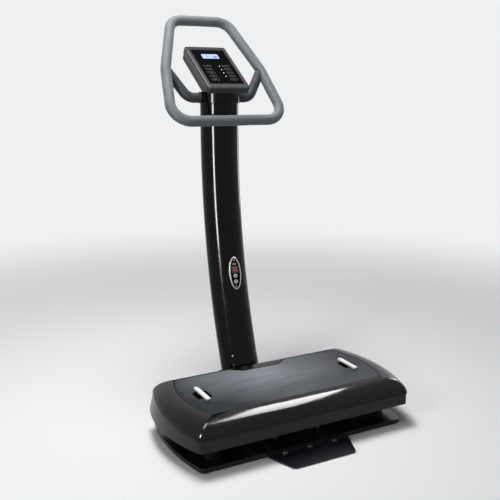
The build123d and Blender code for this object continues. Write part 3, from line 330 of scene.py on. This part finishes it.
def applied(piece):
    """Turn a piece's modifiers into its mesh."""
    bpy.context.view_layer.update()
    evaluated = piece.evaluated_get(bpy.context.evaluated_depsgraph_get())
    mesh = bpy.data.meshes.new_from_object(evaluated)
    old = piece.data
    piece.modifiers.clear()
    piece.data = mesh
    bpy.data.meshes.remove(old)
    return piece


def smoothed(piece, sharp_angle=None):
    """Smooth shading, with edges sharper than an angle in degrees left crisp."""
    for face in piece.data.polygons:
        face.use_smooth = True
    if sharp_angle is not None:
        piece.data.set_sharp_from_angle(angle=math.radians(sharp_angle))
    return piece


def join_rings(shape, here, there):
    """Faces between two rings that have the same number of corners."""
    for i in range(len(here)):
        j = (i + 1) % len(here)
        shape.faces.new((here[i], here[j], there[j], there[i]))


def frame_solid(rows):
    """A closed frame as a bmesh, from four rings of points joined each to the next."""
    shape = bmesh.new()
    rings = [[shape.verts.new(point) for point in row] for row in rows]
    for here, there in zip(rings, rings[1:] + rings[:1]):
        join_rings(shape, here, there)
    bmesh.ops.recalc_face_normals(shape, faces=shape.faces)
    return shape


# ---------------------------------------------------------------- foam grips


def foam_piece(node_name, name, slot, voxel, swell):
    """The moulded foam of a grip: an even skin with slight waviness along it."""
    piece = copy_of(node_name, name)
    remesh = piece.modifiers.new("even", "REMESH")
    remesh.mode = "VOXEL"
    remesh.voxel_size = voxel
    smooth = piece.modifiers.new("smooth", "SMOOTH")
    smooth.iterations = 6
    smooth.factor = 0.6
    texture = bpy.data.textures.new(name + "_wave", "CLOUDS")
    texture.noise_scale = 0.06
    wave = piece.modifiers.new("wave", "DISPLACE")
    wave.texture = texture
    wave.texture_coords = "LOCAL"
    wave.strength = swell
    wave.mid_level = 0.5
    smoothed(applied(piece))
    dress(piece, slot, "base")
    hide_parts(node_name)


foam_piece("loop_grip", "loop_foam", "foam_grip", voxel=0.0032, swell=0.0012)
for side in ("left", "right"):
    foam_piece(f"arm_grip_{side}", f"arm_foam_{side}", "arm_foam", voxel=0.0028, swell=0.0010)

# ---------------------------------------------------------------- rubber pieces

same_corner = 0.00001


def moulded_piece(node_name, name, round_edge, slot, body):
    """A rubber moulding: the node's shape with its sharp edges rounded over."""
    piece = copy_of(node_name, name)
    weld = piece.modifiers.new("weld", "WELD")
    weld.merge_threshold = same_corner
    planar = piece.modifiers.new("planar", "DECIMATE")
    planar.decimate_type = "DISSOLVE"
    planar.angle_limit = math.radians(1.0)
    bevel = piece.modifiers.new("round", "BEVEL")
    bevel.width = round_edge
    bevel.segments = 3
    bevel.limit_method = "ANGLE"
    bevel.angle_limit = math.radians(40)
    smoothed(applied(piece), sharp_angle=35)
    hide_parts(node_name)
    dress(piece, slot, body)


moulded_piece("mat", "mat_pad", 0.0016, "mat_rubber", "deck")
moulded_piece("rubber_feet", "foot_pads", 0.0008, "black_rubber", "base")


def ordered_rim(start):
    """The closed run of rim corners that holds an edge."""
    first, here = start.verts
    run = [first]
    came = start
    while here is not first:
        run.append(here)
        came = next(e for e in here.link_edges if e.is_boundary and e is not came)
        here = came.other_vert(here)
    return run


def top_rim(node_name, dip=0.0002):
    """The points round a node's flat top, in order; a flat top may dip this far."""
    shape = bmesh.new()
    shape.from_mesh(nodes[node_name].data)
    bmesh.ops.remove_doubles(shape, verts=shape.verts, dist=same_corner)
    lowest_top = max(vert.co.z for vert in shape.verts) - dip
    rest = [f for f in shape.faces if min(v.co.z for v in f.verts) <= lowest_top]
    bmesh.ops.delete(shape, geom=rest, context="FACES")
    bmesh.ops.dissolve_limit(
        shape, angle_limit=math.radians(1), verts=shape.verts, edges=shape.edges
    )
    longest = max((e for e in shape.edges if e.is_boundary), key=lambda e: e.calc_length())
    rim = [vert.co.copy() for vert in ordered_rim(longest)]
    shape.free()
    return rim


def moved_in(rim, width):
    """A level outline moved inwards by a width, with its sharpest corners held back."""
    area = sum(a.x * b.y - b.x * a.y for a, b in zip(rim, rim[1:] + rim[:1]))
    turn = 1 if area > 0 else -1
    inner = []
    for before, here, after in zip(rim[-1:] + rim[:-1], rim, rim[1:] + rim[:1]):
        into, out = (here - before).normalized(), (after - here).normalized()
        inward_before = turn * Vector((-into.y, into.x, 0))
        inward_after = turn * Vector((-out.y, out.x, 0))
        inward = (inward_before + inward_after).normalized()
        inner.append(here + inward * (width / max(inward.dot(inward_before), 0.5)))
    return inner


def rim_band(node_name, name, width, thickness, slot, body):
    """A thin band just inside the rim of a node's flat top."""
    outer = top_rim(node_name)
    inner = moved_in(outer, width)
    lift = Vector((0, 0, thickness))
    rows = (outer, [p + lift for p in outer], [p + lift for p in inner], inner)
    dress(piece_from(name, frame_solid(rows)), slot, body)


# a thin black band just inside the mat's rim: painted shade for the dark groove between mat and
# shell
rim_band("mat", "mat_groove_shade", 0.0045, 0.0004, "black_rubber", "deck")


def islands(node_name):
    """The lowest and highest corners of each separate solid in a node."""
    shape = bmesh.new()
    shape.from_mesh(nodes[node_name].data)
    bmesh.ops.remove_doubles(shape, verts=shape.verts, dist=0.000001)
    left = set(shape.verts)
    boxes = []
    while left:
        stack = [left.pop()]
        group = []
        while stack:
            vert = stack.pop()
            group.append(vert.co.copy())
            for edge in vert.link_edges:
                other = edge.other_vert(vert)
                if other in left:
                    left.remove(other)
                    stack.append(other)
        lower = Vector(min(co[axis] for co in group) for axis in range(3))
        upper = Vector(max(co[axis] for co in group) for axis in range(3))
        boxes.append((lower, upper))
    shape.free()
    return sorted(boxes, key=lambda box: (round(box[0].x, 4), round(box[0].y, 4)))


def turned(shape, middle, lower, height, radius, profile, steps=64):
    """Add a closed turned solid to shape, from shares of height and radius."""
    turns = [2 * math.pi * step / steps for step in range(steps)]
    rings = []
    for share, width in profile:
        reach = radius * width
        level = Vector((middle.x, middle.y, lower + height * share))
        spokes = [Vector((reach * math.cos(a), reach * math.sin(a), 0)) for a in turns]
        rings.append([shape.verts.new(level + spoke) for spoke in spokes])
    for below, above in zip(rings, rings[1:]):
        join_rings(shape, below, above)
    shape.faces.new(list(reversed(rings[0])))
    shape.faces.new(rings[-1])


# an isolator from foot to top, as shares of its height and radius: flange, two beads, flange
isolator_profile = [
    (0.0, 0.94), (0.03, 1.0), (0.12, 1.0), (0.17, 0.96), (0.22, 0.86), (0.28, 0.80),
    (0.33, 0.83), (0.38, 0.86), (0.43, 0.83), (0.48, 0.79), (0.53, 0.83), (0.58, 0.86),
    (0.63, 0.83), (0.68, 0.79), (0.74, 0.82), (0.80, 0.90), (0.84, 0.97), (0.88, 1.0),
    (0.97, 1.0), (1.0, 0.94),
]
isolator_inset = 0.0003

mounts = bmesh.new()
for lower, upper in islands("isolator_rubbers"):
    radius = (upper.x - lower.x) / 2 - isolator_inset
    turned(mounts, (lower + upper) / 2, lower.z, upper.z - lower.z, radius, isolator_profile)
isolators = smoothed(piece_from("isolator_mounts", mounts), sharp_angle=50)
isolators.data.materials.append(surfaces["black_rubber"].material)
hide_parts("isolator_rubbers")
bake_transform(isolators)

# ---------------------------------------------------------------- small printed and lit details

print_height = 0.00012


def surface_frame(node_name, up, normal):
    """A matrix on the outer face of a CAD node: X across, Y along up, Z out, at its middle."""
    across = up.cross(normal)
    reach = max(vert.co.dot(normal) for vert in nodes[node_name].data.vertices)
    lowest, highest = (Vector(corner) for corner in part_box(node_name))
    middle = (lowest + highest) / 2
    middle += normal * (reach - middle.dot(normal))
    place = Matrix((across, up, normal)).transposed().to_4x4()
    place.translation = middle
    return place


def flat_piece(name, outlines, place, slot, body, shader=None):
    """Thin raised shapes from closed outlines of (x, y) points in metres, as one piece."""
    shape = bmesh.new()
    for outline in outlines:
        face = shape.faces.new([shape.verts.new((x, y, 0.0)) for x, y in outline])
        face.normal_update()
        if face.normal.z < 0:
            face.normal_flip()
        grown = bmesh.ops.extrude_face_region(shape, geom=[face])
        tops = [g for g in grown["geom"] if isinstance(g, bmesh.types.BMVert)]
        bmesh.ops.translate(shape, verts=tops, vec=(0, 0, print_height))
    bmesh.ops.recalc_face_normals(shape, faces=shape.faces)
    shape.transform(place)
    dress(piece_from(name, shape), slot, body, shader)


def rounded_outline(width, height, radius, steps=6):
    """Points round a rectangle with rounded corners, centred on zero."""
    points = []
    for corner, (sx, sy) in enumerate(((1, 1), (-1, 1), (-1, -1), (1, -1))):
        for step in range(steps + 1):
            turn = math.pi / 2 * (corner + step / steps)
            x = sx * (width / 2 - radius) + radius * math.cos(turn)
            y = sy * (height / 2 - radius) + radius * math.sin(turn)
            points.append((x, y))
    return points


def ring_piece(name, width, height, radius, line, place, slot, body, shader=None):
    """A raised rounded frame of the given line width."""
    outer = rounded_outline(width, height, radius)
    inner = rounded_outline(width - 2 * line, height - 2 * line, max(radius - line, 0.0002))
    edges = ((outer, 0.0), (outer, print_height), (inner, print_height), (inner, 0.0))
    shape = frame_solid([[(x, y, z) for x, y in outline] for outline, z in edges])
    shape.transform(place)
    dress(piece_from(name, shape), slot, body, shader)


def bar(x, y, width, height):
    """The corners of a bar centred on x, y."""
    half_width, half_height = width / 2, height / 2
    return [
        (x - half_width, y - half_height),
        (x + half_width, y - half_height),
        (x + half_width, y + half_height),
        (x - half_width, y + half_height),
    ]


def plus_sign(width, line, arm, rise):
    """A level bar with a short upright above and below it, each centred a rise away."""
    return [bar(0, 0, width, line)] + [bar(0, y, line, arm) for y in (rise, -rise)]


def arrow(x, y, size, turn):
    """A triangle pointing along turn, in degrees from +X."""
    angles = [math.radians(turn + spoke) for spoke in (0, 120, 240)]
    return [(x + size * math.cos(a), y + size * math.sin(a)) for a in angles]


# segment: (shares of the figure's width and half height, whether it lies level)
digit_segments = {
    "a": (0.0, 1.0, True),
    "b": (0.5, 0.5, False),
    "c": (0.5, -0.5, False),
    "d": (0.0, -1.0, True),
    "e": (-0.5, -0.5, False),
    "f": (-0.5, 0.5, False),
    "g": (0.0, 0.0, True),
}
digit_shapes = {"0": "abcdef", "1": "bc", "3": "abgcd"}


def digits(text, width, height, line, pitch):
    """Seven-segment figures, centred on zero, as outlines with gaps between the segments."""
    trim = 1.3 * line
    outlines = []
    start = -(len(text) - 1) / 2 * pitch
    for index, figure in enumerate(text):
        for segment in digit_shapes[figure]:
            x, y, level = digit_segments[segment]
            centre_x = start + index * pitch + x * width
            centre_y = y * height / 2
            if level:
                outlines.append(bar(centre_x, centre_y, width - trim, line))
            else:
                outlines.append(bar(centre_x, centre_y, line, height / 2 - trim))
    return outlines


# the console: key outlines and pictograms, then the screen's figures and its rising bars
console_tilt = math.radians(35.0)
console_up = Vector((0, math.cos(console_tilt), math.sin(console_tilt)))
console_out = Vector((0, -math.sin(console_tilt), math.cos(console_tilt)))

key_icons = [
    [arrow(0, 0, 2.6 * mm, 90)],
    plus_sign(4.4 * mm, 1.1 * mm, 2.2 * mm, 1.65 * mm),
    [arrow(0, 0, 2.6 * mm, -90)],
    [bar(0, 0, 4.4 * mm, 1.1 * mm)],
    [bar(0, 0, 4.0 * mm, 4.0 * mm)],
    [arrow(0, 0, 2.6 * mm, 0)],
    [bar(x * mm, 0, 1.4 * mm, 4.2 * mm) for x in (-1.4, 1.4)],
    [rounded_outline(4.2 * mm, 4.2 * mm, 2.0 * mm)],
    [bar(0, y * 1.7 * mm, 5.2 * mm, 0.8 * mm) for y in (-1, 0, 1)],
    [arrow(x * mm, 0, 2.0 * mm, 0) for x in (-1.4, 1.8)],
]
key_outline = {"width": 28.6 * mm, "height": 11.6 * mm, "radius": 2.4 * mm, "line": 0.7 * mm}
for number, icon in enumerate(key_icons, start=1):
    key = f"console_key_{number:02d}"
    ink = {
        "place": surface_frame(key, console_up, console_out),
        "slot": "key_black",
        "body": key,
        "shader": key_ink,
    }
    ring_piece(f"key_outline_{number:02d}", **key_outline, **ink)
    flat_piece(f"key_icon_{number:02d}", icon, **ink)

screen_place = surface_frame("console_screen", console_up, console_out)
figures_place = screen_place @ Matrix.Translation((-15 * mm, 3 * mm, 0))
screen_figures = digits("10", width=5.5 * mm, height=15 * mm, line=1.5 * mm, pitch=9.5 * mm)
flat_piece("screen_figures", screen_figures, figures_place, "lit_screen", "base", screen_ink)
rising_bars = [
    bar((3 + 3.6 * i) * mm, (-8 + 0.9 * i) * mm, 2.4 * mm, (3 + 1.8 * i) * mm) for i in range(7)
]
flat_piece("screen_bars", rising_bars, screen_place, "lit_screen", "base", screen_ink)

# the lower panel, on the column where it leans back below its straight top
column_bend_radius = 2.560
column_bend_top = 1.025
lower_panel_height = 0.470
column_lean = math.asin((column_bend_top - lower_panel_height) / column_bend_radius)
panel_up = Vector((0, math.sin(column_lean), math.cos(column_lean)))
panel_out = Vector((0, -math.cos(column_lean), math.sin(column_lean)))

display_place = surface_frame("lower_display", panel_up, panel_out)
display_figures = digits("30", width=6.0 * mm, height=15 * mm, line=1.9 * mm, pitch=11 * mm)
flat_piece("display_figures", display_figures, display_place, "lit_display", "base", display_glow)
button_icons = {
    "upper": plus_sign(6 * mm, 1.3 * mm, 2.4 * mm, 1.9 * mm),
    "lower": [bar(0, 0, 6 * mm, 1.3 * mm)],
}
for level, icon in button_icons.items():
    button = f"panel_button_{level}"
    button_place = surface_frame(button, panel_up, panel_out)
    flat_piece(f"button_icon_{level}", icon, button_place, "shell_dark", button)

# ---------------------------------------------------------------- camera

camera_data = bpy.data.cameras.new("camera")
camera_data.lens = 53.1
camera_data.sensor_width = 36.0
camera = linked("camera", camera_data)
camera_yaw = math.radians(28.14)
camera_pitch = math.radians(12.33)
camera.location = (-1.252, -2.3035, 1.180)
camera.rotation_euler = (math.pi / 2 - camera_pitch, 0, -camera_yaw)
bpy.context.scene.camera = camera
bpy.context.scene.view_settings.view_transform = "Standard"

# ---------------------------------------------------------------- backdrop and floor

backdrop_color = (0.86, 0.87, 0.88, 1)
floor_radius = 14.0
floor_gap = 0.0005


def backdrop_rays(tree):
    """1 for rays from the camera, and for those that mirror or pass through a surface."""
    path = tree.nodes.new("ShaderNodeLightPath")
    result = path.outputs["Is Camera Ray"]
    for kind in ("Is Glossy Ray", "Is Transmission Ray"):
        either = tree.nodes.new("ShaderNodeMath")
        either.operation = "MAXIMUM"
        tree.links.new(result, either.inputs[0])
        tree.links.new(path.outputs[kind], either.inputs[1])
        result = either.outputs[0]
    return result


def background(tree, color, strength):
    """A world light of one colour."""
    node = tree.nodes.new("ShaderNodeBackground")
    node.inputs["Color"].default_value = color
    node.inputs["Strength"].default_value = strength
    return node.outputs[0]


def mixed(tree, fac, first, second):
    """One shader where the factor is 0, the other where it is 1."""
    mix = tree.nodes.new("ShaderNodeMixShader")
    tree.links.new(fac, mix.inputs["Fac"])
    tree.links.new(first, mix.inputs[1])
    tree.links.new(second, mix.inputs[2])
    return mix.outputs[0]


def studio_world():
    """Dim cool light on the object, and a pale backdrop wherever the world is seen."""
    world = bpy.data.worlds.new("studio")
    world.use_nodes = True
    tree = world.node_tree
    tree.nodes.clear()
    output = tree.nodes.new("ShaderNodeOutputWorld")
    ambient = background(tree, (0.93, 0.96, 1.0, 1), 0.13)
    seen = background(tree, backdrop_color, 1.0)
    tree.links.new(mixed(tree, backdrop_rays(tree), ambient, seen), output.inputs["Surface"])
    return world


def floor_paint():
    """Paint that is pale where seen and dim in its bounce, and melts into the backdrop."""
    material = bpy.data.materials.new("floor_paint")
    material.use_nodes = True
    tree = material.node_tree
    tree.nodes.clear()
    output = tree.nodes.new("ShaderNodeOutputMaterial")

    color = tree.nodes.new("ShaderNodeMix")
    color.data_type = "RGBA"
    color.inputs["A"].default_value = (0.24, 0.24, 0.25, 1)
    color.inputs["B"].default_value = (0.95, 0.96, 0.97, 1)
    tree.links.new(backdrop_rays(tree), color.inputs["Factor"])
    paint = tree.nodes.new("ShaderNodeBsdfDiffuse")
    tree.links.new(color.outputs["Result"], paint.inputs["Color"])

    haze = tree.nodes.new("ShaderNodeEmission")
    haze.inputs["Color"].default_value = backdrop_color
    haze.inputs["Strength"].default_value = 1.0

    coords = tree.nodes.new("ShaderNodeTexCoord")
    distance = tree.nodes.new("ShaderNodeVectorMath")
    distance.operation = "LENGTH"
    tree.links.new(coords.outputs["Object"], distance.inputs[0])
    fade = tree.nodes.new("ShaderNodeMapRange")
    fade.interpolation_type = "SMOOTHSTEP"
    fade.inputs["From Min"].default_value = 0.9
    fade.inputs["From Max"].default_value = 3.8
    tree.links.new(distance.outputs["Value"], fade.inputs["Value"])

    surface = mixed(tree, fade.outputs["Result"], paint.outputs[0], haze.outputs[0])
    tree.links.new(surface, output.inputs["Surface"])
    return material


bpy.context.scene.world = studio_world()

floor_shape = bmesh.new()
bmesh.ops.create_circle(floor_shape, cap_ends=True, segments=96, radius=floor_radius)
floor = piece_from("floor", floor_shape)
floor.location = (0, 0, cad_box[0][2] - floor_gap)
floor.data.materials.append(floor_paint())

# ---------------------------------------------------------------- lamps


def softbox(name, place, target, size, power, sheen_only=False, roll=0.0, spread=180.0):
    """A rectangular soft light at place, aimed at target.

    With sheen_only it adds reflections and leaves diffuse light alone. The roll about its
    aim and the spread of its beam are in degrees.
    """
    data = bpy.data.lights.new(name, "AREA")
    data.shape = "RECTANGLE"
    data.size, data.size_y = size
    data.energy = power
    data.spread = math.radians(spread)
    lamp = linked(name, data)
    lamp.location = place
    lamp.visible_camera = False
    lamp.visible_diffuse = not sheen_only
    aim = (Vector(target) - Vector(place)).to_track_quat("-Z", "Y").to_matrix()
    lamp.rotation_euler = (aim @ Matrix.Rotation(math.radians(roll), 3, "Z")).to_euler()


softbox("overhead", (-0.3, 0.3, 3.0), (0, -0.1, 0.3), size=(1.2, 1.0), power=68)
softbox("left_key", (-2.9, -1.2, 1.9), (0, 0.2, 0.8), size=(0.9, 1.0), power=24)
softbox(
    "column_strip", (-1.33, -0.74, 0.955), (-0.05, 0.22, 0.955),
    size=(0.22, 0.6), power=46, sheen_only=True,
)
softbox(
    "right_strip", (2.9, 1.6, 1.2), (0, 0.2, 0.8),
    size=(0.25, 1.6), power=12, sheen_only=True,
)
softbox(
    "shoulder_box", (0.406, -0.125, 1.07), (-0.08, -0.35, 0.17),
    size=(0.46, 0.78), power=12.5, sheen_only=True, roll=45.0, spread=105.0,
)
